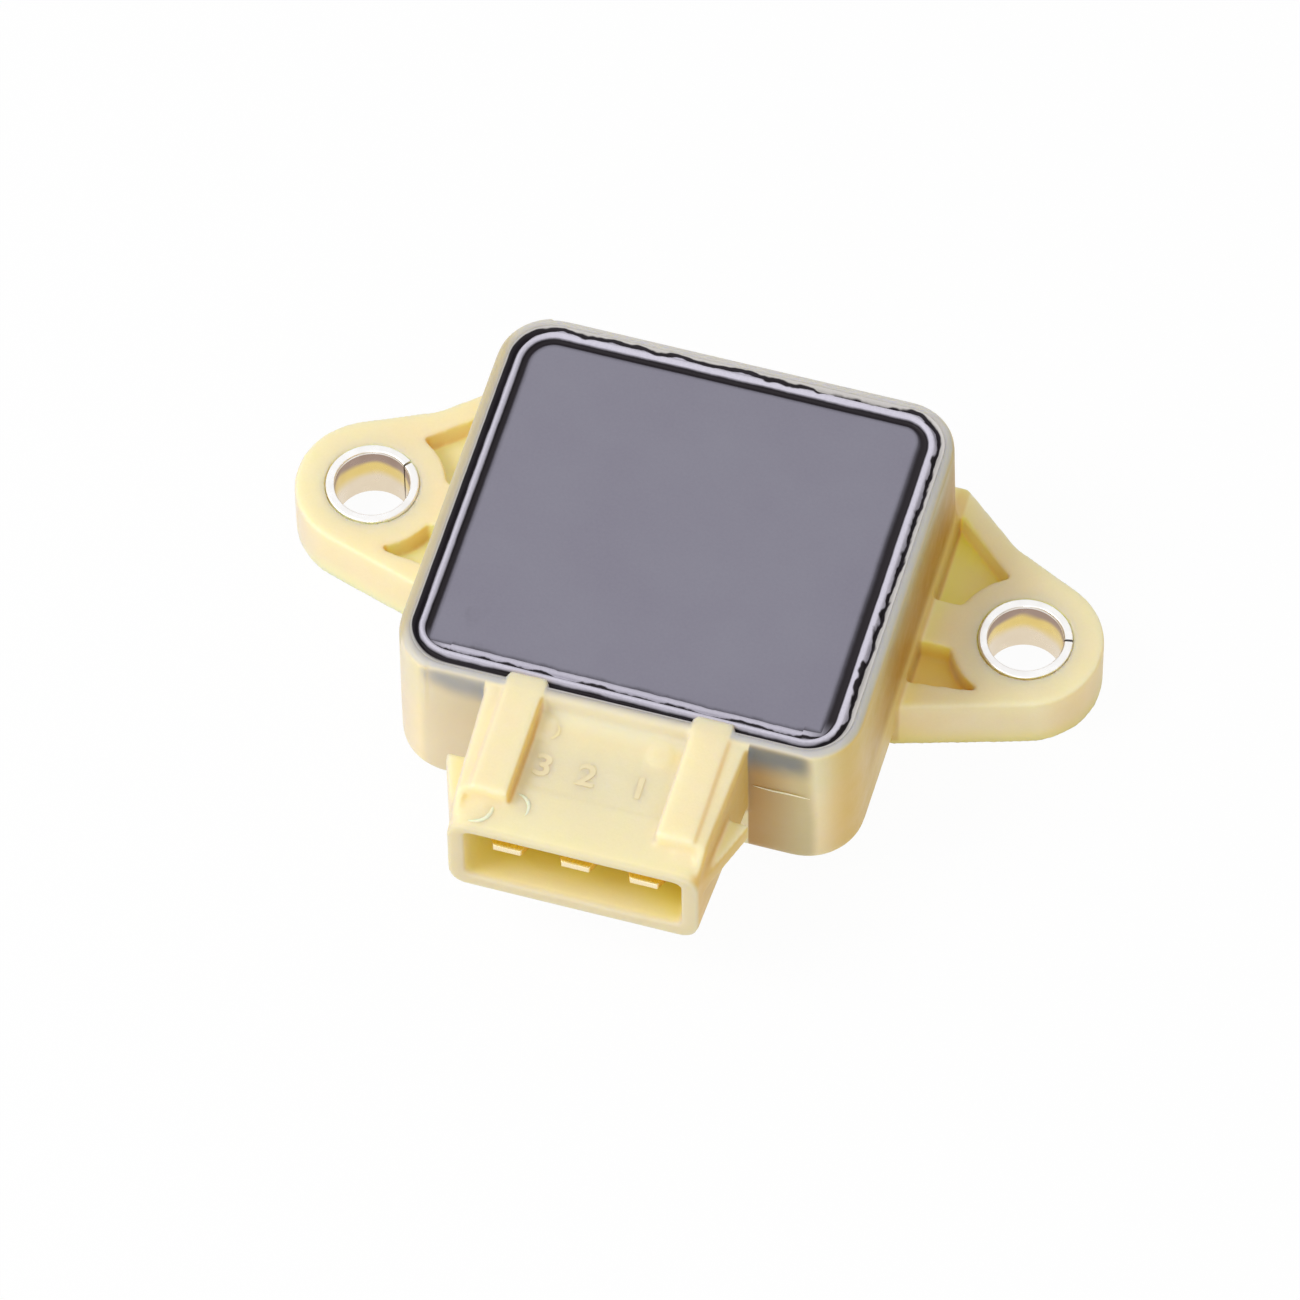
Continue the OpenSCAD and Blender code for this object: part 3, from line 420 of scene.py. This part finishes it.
def potting_outline():
    """Points on the wall's inner face about the body's middle, with their outward normals."""
    low, high = mm_box("potting_compound")
    straight = (high - low)[:2] / 2 - INNER_R
    places, normals = [], []
    corners = [(1, 1, 0), (-1, 1, 90), (-1, -1, 180), (1, -1, 270)]
    for index, (sx, sy, start) in enumerate(corners):
        mid = straight * (sx, sy)
        for a in np.radians(np.linspace(start, start + 90, 40)):
            n = np.array([math.cos(a), math.sin(a)])
            places.append(mid + INNER_R * n)
            normals.append(n)
        first = places[-1]
        last = straight * corners[(index + 1) % 4][:2] + INNER_R * n
        for t in np.linspace(0, 1, AROUND // 4 - 38)[1:-1]:
            places.append(first * (1 - t) + last * t)
            normals.append(n)
    return np.array(places), np.array(normals)


def smooth_step(value, low, high):
    t = min(1.0, max(0.0, (value - low) / (high - low)))
    return t * t * (3 - 2 * t)


def band_ends(place, n):
    """Ends of the bands at one point of the wall, blended round the corners, and the sides' weights."""
    weights = {"right": max(n[0], 0) ** 2, "left": max(-n[0], 0) ** 2, "top": max(n[1], 0) ** 2, "bottom": max(-n[1], 0) ** 2}
    ends = sum(weights[k] * np.array(BANDS[k]) for k in BANDS)
    ends = ends - weights["bottom"] * 0.012 * (place[0] + 1)
    if n[1] < -1e-6 and abs(n[0]) > 1e-6:
        side = "left" if n[0] < 0 else "right"
        reach = min((INNER_R - BANDS[side][3]) / abs(n[0]), (INNER_R - BANDS["bottom"][3]) / abs(n[1]))
        ends[3] = max(ends[2] + 0.1, INNER_R - reach)
    fade = weights["top"] * smooth_step(place[0], 4.5, 7.5) * (1 - smooth_step(place[0], 12.0, 14.0))
    ends[0] += (ends[1] - ends[0]) * fade
    return ends, weights


def band_height(distance, u, double):
    """Height of the resin's surface in mm, by distance from the wall and band coordinate."""
    def hump(a, b):
        t = (u - a) / (b - a)
        return math.sin(math.pi * t) ** 0.8 if 0 < t < 1 else 0.0

    lap = (LAP_Z - FLAT_Z + 0.12) * (1 - smooth_step(distance, -0.28, 0.3)) - 0.12 * (1 - smooth_step(u, 1.0, 1.3))
    bead = 0.3 * hump(0.8, 2.15)
    inner = -0.16 * (1 - double) * hump(2.0, 3.0)
    second = double * 0.14 * hump(2.25, 2.9) - double * 0.06 * (hump(2.0, 2.3) + hump(2.85, 3.05))
    return FLAT_Z + lap + bead + inner + second


def potting_fill(material):
    """Cast resin with a bead along the wall and a groove inside it."""
    low = mm_box("potting_compound")[0]
    places, normals = potting_outline()
    count = len(places)
    widths = np.arange(-LAP, 2.15, RING_STEP)
    verts, band, double, rag = [], [], [], []
    for distance in widths:
        for place, n in zip(places, normals):
            ends, weights = band_ends(place, n)
            marks = [-LAP - 0.01, ends[0], max(ends[1], ends[0] + 1e-3), ends[2], ends[3], ends[3] + 1.0]
            u = float(np.interp(distance, marks, [-1, 0, 1, 2, 3, 4]))
            point = place - n * distance
            verts.append((point[0], point[1] + BODY_MID_Y, band_height(distance, u, weights["bottom"])))
            band.append(u)
            double.append(weights["bottom"])
            rag.append(0.85 * weights["right"] + 0.8 * weights["top"] + 0.12)
    rings = len(widths)
    for place, n in zip(places, normals):
        verts.append((place[0], place[1] + BODY_MID_Y, low[2]))
        band.append(0.0)
        double.append(0.0)
        rag.append(0.0)
    base = rings * count
    loops = [base] + [r * count for r in range(rings)]
    faces = []
    for first, second in zip(loops, loops[1:]):
        for k in range(count):
            m = (k + 1) % count
            faces.append((first + k, first + m, second + m, second + k))
    faces.append([(rings - 1) * count + k for k in range(count)])
    faces.append([base + k for k in reversed(range(count))])
    mesh = mesh_from("potting_fill", verts, faces)
    for name, values in (("band", band), ("double", double), ("rag", rag)):
        layer = mesh.attributes.new(name, "FLOAT", "POINT")
        layer.data.foreach_set("value", values)
    piece = add_object("potting_fill", mesh, material)
    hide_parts("potting_compound")
    return piece


def potting_material():
    s = Shader("potting_resin", specular_ior_level=0.18)
    band, double, rag = (s.node("Attribute", out=2, attribute_name=name) for name in ("band", "double", "rag"))
    torn = s.spread(s.noise(0.55, 2.0, 0.5), -0.6, 0.6)
    wavy = s.spread(s.noise(0.45, 3.0, 0.6), -0.1, 0.1)
    wavy = s.math("MULTIPLY", wavy, s.math("ADD", 0.35, s.math("MULTIPLY", double, 1.2)))
    outer = s.math("ADD", band, s.math("MULTIPLY", torn, rag))
    inner = s.math("ADD", band, wavy)
    broad = s.spread(s.noise(0.13, 3.0, 0.6), 0.0, 1.0)
    speck = s.noise(4.5, 5.0, 0.7)
    # The black is the resin's own colour; the pale bead, the grey flat and the second pale line on the bottom side
    # are painted highlight and painted sheen on the black resin.
    black, bead_highlight = srgb(34, 29, 34), srgb(212, 208, 221)
    flat = s.mix(broad, srgb(133, 131, 144), srgb(129, 126, 140))
    flat = s.mix(s.spread(speck, 0.0, 0.22), flat, srgb(148, 145, 158))
    bead = s.mix(s.spread(speck, 0.0, 0.5), bead_highlight, srgb(186, 182, 198))
    film = s.mix(s.spread(speck, 0.0, 0.5), srgb(204, 200, 196), srgb(188, 184, 182))
    # painted highlight of a second ridge along the bottom side
    second = s.mix(0.35, bead, srgb(160, 156, 172))
    window = s.math("MULTIPLY", s.step(inner, 2.2, 2.32), s.math("SUBTRACT", 1.0, s.step(inner, 2.78, 2.9)))
    groove = s.mix(s.math("MULTIPLY", window, double), black, second)
    tone = s.mix(s.step(outer, -0.3, 0.1), film, black)
    tone = s.mix(s.step(outer, 0.85, 1.15), tone, bead)
    tone = s.mix(s.step(inner, 1.9, 2.12), tone, groove)
    tone = s.mix(s.step(inner, 2.62, 3.3), tone, flat)
    s.set("Base Color", tone)
    s.set("Roughness", s.spread(speck, 0.42, 0.54))
    s.set("Normal", s.bump(s.noise(1.2, 3.0), 0.02, 0.6))
    return s.mat


# ---------------------------------------------------------------- sleeves

def sleeve_material():
    s = Shader("sleeve_steel", metallic=1.0)
    z = s.axis(2)
    streak = s.noise(0.7, 2.0, 0.5)
    bright = s.mix(s.spread(streak, 0.0, 1.0), srgb(252, 251, 250), srgb(240, 238, 236))
    # painted reflection of the nylon in the bore's steel, in soft rings, with a painted darker band near the top
    height = s.math("ADD", z, s.spread(s.noise(0.35, 1.0), -0.3, 0.3))
    rings = s.mix(s.step(height, 3.5, 4.2), srgb(232, 206, 128), srgb(170, 148, 136))
    rings = s.mix(s.math("SUBTRACT", 1.0, s.step(height, 1.7, 3.0)), rings, srgb(232, 216, 190))
    x = s.math("SUBTRACT", s.math("ABSOLUTE", s.axis(0)), HOLE_X)
    y = s.axis(1)
    radius = s.math("SQRT", s.math("ADD", s.math("MULTIPLY", x, x), s.math("MULTIPLY", y, y)))
    inside = s.math("MULTIPLY", s.math("LESS_THAN", radius, SLEEVE_BORE_R + 0.06), s.math("LESS_THAN", z, SLEEVE_TOP - 0.3))
    s.set("Base Color", s.mix(inside, bright, rings))
    s.set("Roughness", s.spread(streak, 0.24, 0.36))
    s.set("Normal", s.bump(s.noise(3.0, 2.0), 0.004, 0.5))
    return s.mat


def sleeve(name, side, slit_degrees, material, node):
    """Rolled sheet with rounded edges and a narrow slit where its ends meet."""
    top = SLEEVE_TOP
    soft = 0.14
    profile = []
    for cx, cz, start in ((SLEEVE_R - soft, soft, -90), (SLEEVE_R - soft, top - soft, 0), (SLEEVE_BORE_R + soft, top - soft, 90), (SLEEVE_BORE_R + soft, soft, 180)):
        for a in np.linspace(start, start + 90, 6):
            profile.append((cx + soft * math.cos(math.radians(a)), cz + soft * math.sin(math.radians(a))))
    gap = math.degrees(0.1 / SLEEVE_R)
    angles = np.linspace(slit_degrees + gap, slit_degrees + 360 - gap, 120)
    n = len(profile)
    verts = []
    for a in angles:
        c, s = math.cos(math.radians(a)), math.sin(math.radians(a))
        verts += [(side * HOLE_X + r * c, r * s, z) for r, z in profile]
    faces = [(i * n + k, (i + 1) * n + k, (i + 1) * n + (k + 1) % n, i * n + (k + 1) % n) for i in range(len(angles) - 1) for k in range(n)]
    faces.append(list(reversed(range(n))))
    faces.append([(len(angles) - 1) * n + k for k in range(n)])
    mesh = mesh_from(name, verts, faces)
    bm = bmesh.new()
    bm.from_mesh(mesh)
    bmesh.ops.recalc_face_normals(bm, faces=bm.faces)
    bm.to_mesh(mesh)
    bm.free()
    mesh.shade_smooth()
    mesh.set_sharp_from_angle(angle=math.radians(50))
    piece = add_object(name, mesh, material)
    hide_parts(node)


# ---------------------------------------------------------------- terminals

def bevelled_copy(node, name, material, width, body=BODY):
    """A node's solid with its edges softened."""
    mesh = frame["nodes"][node].data.copy()
    bm = bmesh.new()
    bm.from_mesh(mesh)
    bmesh.ops.remove_doubles(bm, verts=bm.verts, dist=1e-7)
    bmesh.ops.dissolve_limit(bm, angle_limit=math.radians(1), verts=bm.verts, edges=bm.edges)
    sharp = [e for e in bm.edges if len(e.link_faces) == 2 and e.calc_face_angle() > math.radians(25)]
    bmesh.ops.bevel(bm, geom=sharp, offset=width * MM, segments=2, profile=0.6, affect="EDGES", clamp_overlap=True)
    bm.to_mesh(mesh)
    bm.free()
    mesh.name = name
    mesh.shade_smooth()
    mesh.set_sharp_from_angle(angle=math.radians(40))
    piece = add_object(name, mesh, material, body)
    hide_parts(node)
    return piece


def brass_material():
    s = Shader("terminal_brass", metallic=1.0)
    drawn = s.noise(3.0, 4.0, 0.6, stretch=(6.0, 0.5, 6.0))
    tone = s.mix(s.spread(drawn, 0.0, 1.0), srgb(246, 214, 120), srgb(226, 186, 84))
    # painted highlight on the blades' tips near the mouth
    tip_highlight = s.math("LESS_THAN", s.axis(1), MOUTH_Y + 0.95)
    s.set("Base Color", s.mix(s.math("MULTIPLY", tip_highlight, 0.75), tone, srgb(255, 244, 214)))
    s.set("Roughness", s.spread(drawn, 0.22, 0.36))
    s.set("Normal", s.bump(drawn, 0.008, 0.6))
    return s.mat


# ---------------------------------------------------------------- small marks on the moulding

def ridge(points, width, height, taper=True):
    """Low rounded ridge along points (x, y, z, normal) as one closed strip."""
    verts, faces = [], []
    n = len(points)
    for i, (place, normal) in enumerate(points):
        before, after = points[max(i - 1, 0)][0], points[min(i + 1, n - 1)][0]
        along = (Vector(after) - Vector(before)).normalized()
        normal = Vector(normal).normalized()
        side = along.cross(normal).normalized()
        share = math.sin(math.pi * min(max(i / (n - 1), 0.04), 0.96)) ** 0.5 if taper else 1.0
        for k in range(7):
            a = math.pi * k / 6
            offset = side * (math.cos(a) * width / 2 * share) + normal * (math.sin(a) * height * share - 0.03)
            verts.append(tuple(Vector(place) + offset))
    for i in range(n - 1):
        for k in range(7):
            m = (k + 1) % 7
            faces.append((i * 7 + k, (i + 1) * 7 + k, (i + 1) * 7 + m, i * 7 + m))
    faces.append(list(range(7)))
    faces.append([(n - 1) * 7 + k for k in reversed(range(7))])
    return verts, faces


def pin_numbers(material):
    """Plain raised numbers of the three ways."""
    pieces = []
    for text, x in (("3", -4.0), ("2", -0.8), ("1", 3.05)):
        curve = bpy.data.curves.new("digit", "FONT")
        curve.body, curve.size, curve.extrude, curve.offset = text, 2.5 * MM, 0.04 * MM, 0.05 * MM
        curve.align_x, curve.align_y = "CENTER", "CENTER"
        holder = bpy.data.objects.new("digit", curve)
        bpy.context.scene.collection.objects.link(holder)
        holder.location = (x * MM, (FRONT_Y - 4.6) * MM, (SHROUD_TOP - FIELD_DROP) * MM)
        holder.scale = (1.15, 1.0, 1.0)
        bpy.context.view_layer.update()
        graph = bpy.context.evaluated_depsgraph_get()
        mesh = bpy.data.meshes.new_from_object(holder.evaluated_get(graph))
        mesh.transform(holder.matrix_world)
        bpy.data.objects.remove(holder)
        pieces.append(mesh)
    bm = bmesh.new()
    for mesh in pieces:
        bm.from_mesh(mesh)
    bmesh.ops.remove_doubles(bm, verts=bm.verts, dist=1e-7)
    joined = bpy.data.meshes.new("pin_numbers")
    bm.to_mesh(joined)
    bm.free()
    add_object("pin_numbers", joined, material)


def ejector_marks(material):
    """Two low round marks on the sunken field."""
    verts, faces = [], []
    for cx, cy in ((-4.42, -22.0), (3.62, -22.0)):
        start = len(verts)
        for radius, height in ((0.86, -0.05), (0.82, 0.05), (0.72, 0.1), (0.4, 0.11)):
            for k in range(36):
                a = math.tau * k / 36
                verts.append((cx + radius * math.cos(a), cy + radius * math.sin(a), SHROUD_TOP - FIELD_DROP + height))
        for ring in range(3):
            for k in range(36):
                m = (k + 1) % 36
                low, high = start + ring * 36, start + (ring + 1) * 36
                faces.append((low + k, low + m, high + m, high + k))
        faces.append([start + 3 * 36 + k for k in range(36)])
        faces.append([start + k for k in reversed(range(36))])
    add_object("ejector_marks", mesh_from("ejector_marks", verts, faces), material)


def moulding_marks(material):
    """Two thin flash arcs on the shroud and a mould line on the front wall."""
    up, front = (0, 0, 1), (0, -1, 0)
    parts = []
    arc = [((-7.6 + 1.25 * math.cos(math.radians(a)), -29.6 + 1.25 * math.sin(math.radians(a)), SHROUD_TOP), up) for a in range(-95, 31, 10)]
    parts.append(ridge(arc, 0.34, 0.14))
    arc = [((-5.05 + 1.15 * math.cos(math.radians(a)), -28.95 + 1.15 * math.sin(math.radians(a)), SHROUD_TOP), up) for a in range(-25, 96, 10)]
    parts.append(ridge(arc, 0.3, 0.12))
    line = [((x, FRONT_Y, 9.85 + 0.03 * math.sin(x * 2.1)), front) for x in np.linspace(10.0, 14.2, 14)]
    parts.append(ridge(line, 0.16, 0.08))
    verts, faces = [], []
    for v, f in parts:
        start = len(verts)
        verts += v
        faces += [[start + k for k in face] for face in f]
    mesh = mesh_from("moulding_marks", verts, faces)
    add_object("moulding_marks", mesh, material)


# ---------------------------------------------------------------- carried-over nodes

def dress_nodes():
    rubber = plain_finish("seal_rubber", srgb(30, 30, 31), 0.62, grain=4.0, relief=0.015, specular_ior_level=0.4)
    rotor = plain_finish("rotor_nylon", srgb(38, 38, 40), 0.45, grain=6.0, relief=0.012, specular_ior_level=0.4)
    cover = plain_finish("cover_nylon", srgb(44, 44, 46), 0.55, grain=5.0, relief=0.015)
    ceramic = plain_finish("fired_ceramic", srgb(236, 236, 230), 0.6, grain=9.0, vary=0.04, relief=0.008)
    washer = plain_finish("washer_plastic", srgb(230, 230, 222), 0.35, grain=5.0, vary=0.04)
    carbon = plain_finish("carbon_print", srgb(26, 26, 28), 0.5, grain=12.0, vary=0.2, relief=0.01)
    silver = plain_finish("silver_print", srgb(206, 206, 202), 0.42, metal=0.9, grain=10.0, vary=0.06)
    bronze = plain_finish("spring_bronze", srgb(214, 160, 96), 0.28, metal=1.0, grain=5.0, stretch=(0.6, 4.0, 4.0))
    tin = plain_finish("tinned_pin", srgb(206, 208, 212), 0.3, metal=1.0, grain=5.0, vary=0.06)
    solder = plain_finish("solder", srgb(198, 200, 204), 0.24, metal=1.0, grain=3.0, vary=0.1, relief=0.02)
    clip = plain_finish("clip_steel", srgb(168, 170, 174), 0.26, metal=1.0, grain=5.0, stretch=(4.0, 4.0, 0.6))
    finishes = {
        "seal_rubber": rubber, "rotor_plastic": rotor, "cover_plastic": cover, "ceramic": ceramic,
        "washer_plastic": washer, "carbon_print": carbon, "silver_print": silver, "spring_bronze": bronze,
        "tinned_pin": tin, "solder": solder, "clip_steel": clip,
    }
    for row in frame["record"]["subparts"]:
        finish = finishes.get(row["material_slot"])
        if finish:
            mesh = frame["nodes"][row["node"]].data
            mesh.materials.clear()
            mesh.materials.append(finish)


# ---------------------------------------------------------------- floor and light

def stage_plane(name, size, material):
    mesh = bpy.data.meshes.new(name)
    h = size / 2
    mesh.from_pydata([(-h, -h, 0), (h, -h, 0), (h, h, 0), (-h, h, 0)], [], [(0, 1, 2, 3)])
    mesh.materials.append(material)
    plane = bpy.data.objects.new(name, mesh)
    bpy.context.scene.collection.objects.link(plane)
    return plane


def background_rays(tree):
    """1 for rays that show the background: straight to the camera, in gloss or through glass."""
    path = tree.nodes.new("ShaderNodeLightPath")
    seen = None
    for name in ("Is Camera Ray", "Is Glossy Ray", "Is Transmission Ray"):
        if seen is None:
            seen = path.outputs[name]
            continue
        top = tree.nodes.new("ShaderNodeMath")
        top.operation = "MAXIMUM"
        tree.links.new(seen, top.inputs[0])
        tree.links.new(path.outputs[name], top.inputs[1])
        seen = top.outputs[0]
    return seen


def floor_material():
    mat = bpy.data.materials.new("floor_white")
    mat.use_nodes = True
    tree = mat.node_tree
    tree.nodes.clear()
    output = tree.nodes.new("ShaderNodeOutputMaterial")
    diffuse = tree.nodes.new("ShaderNodeBsdfDiffuse")
    diffuse.inputs[0].default_value = (0.86, 0.86, 0.86, 1)
    glow = tree.nodes.new("ShaderNodeEmission")
    glow.inputs[0].default_value = (1, 1, 1, 1)
    share = tree.nodes.new("ShaderNodeMath")
    share.operation = "MULTIPLY"
    share.inputs[1].default_value = 0.96
    mix = tree.nodes.new("ShaderNodeMixShader")
    tree.links.new(background_rays(tree), share.inputs[0])
    tree.links.new(share.outputs[0], mix.inputs[0])
    tree.links.new(diffuse.outputs[0], mix.inputs[1])
    tree.links.new(glow.outputs[0], mix.inputs[2])
    tree.links.new(mix.outputs[0], output.inputs[0])
    return mat


def make_world(level):
    world = bpy.data.worlds.new("studio")
    bpy.context.scene.world = world
    world.use_nodes = True
    tree = world.node_tree
    tree.nodes.clear()
    output = tree.nodes.new("ShaderNodeOutputWorld")
    light = tree.nodes.new("ShaderNodeBackground")
    light.inputs[0].default_value = (1.0, 1.0, 1.0, 1)
    light.inputs[1].default_value = level
    seen = tree.nodes.new("ShaderNodeBackground")
    seen.inputs[0].default_value = (1, 1, 1, 1)
    seen.inputs[1].default_value = 1.0
    mix = tree.nodes.new("ShaderNodeMixShader")
    tree.links.new(background_rays(tree), mix.inputs[0])
    tree.links.new(light.outputs[0], mix.inputs[1])
    tree.links.new(seen.outputs[0], mix.inputs[2])
    tree.links.new(mix.outputs[0], output.inputs[0])


def area_light(name, place, size, power, colour=(1, 1, 1)):
    data = bpy.data.lights.new(name, "AREA")
    data.shape, data.size, data.energy, data.color = "DISK", size, power, colour
    lamp = bpy.data.objects.new(name, data)
    lamp.location = place
    lamp.rotation_mode = "QUATERNION"
    lamp.rotation_quaternion = (Vector(place) - Vector((0, -0.004, 0.006))).to_track_quat("Z", "Y")
    bpy.context.scene.collection.objects.link(lamp)


def light_studio():
    stage_plane("floor", 6.0, floor_material())
    make_world(0.66)
    area_light("key", (-0.38, -0.2, 0.5), 0.32, 1.85)
    area_light("front_fill", (0.12, -0.6, 0.14), 0.3, 0.5)
    scene = bpy.context.scene
    scene.view_settings.view_transform = "Standard"


# ---------------------------------------------------------------- build

nylon = housing_material()
steel = sleeve_material()
brass = brass_material()
housing_shell(nylon)
potting_fill(potting_material())
sleeve("sleeve_left", -1, 50, steel, "mounting_sleeve_left")
sleeve("sleeve_right", 1, 12, steel, "mounting_sleeve_right")
for way in (1, 2, 3):
    bevelled_copy(f"terminal_{way}", f"blade_{way}", brass, 0.07)
pin_numbers(digit_material())
moulding_marks(flash_material())
ejector_marks(mark_material())
dress_nodes()
light_studio()
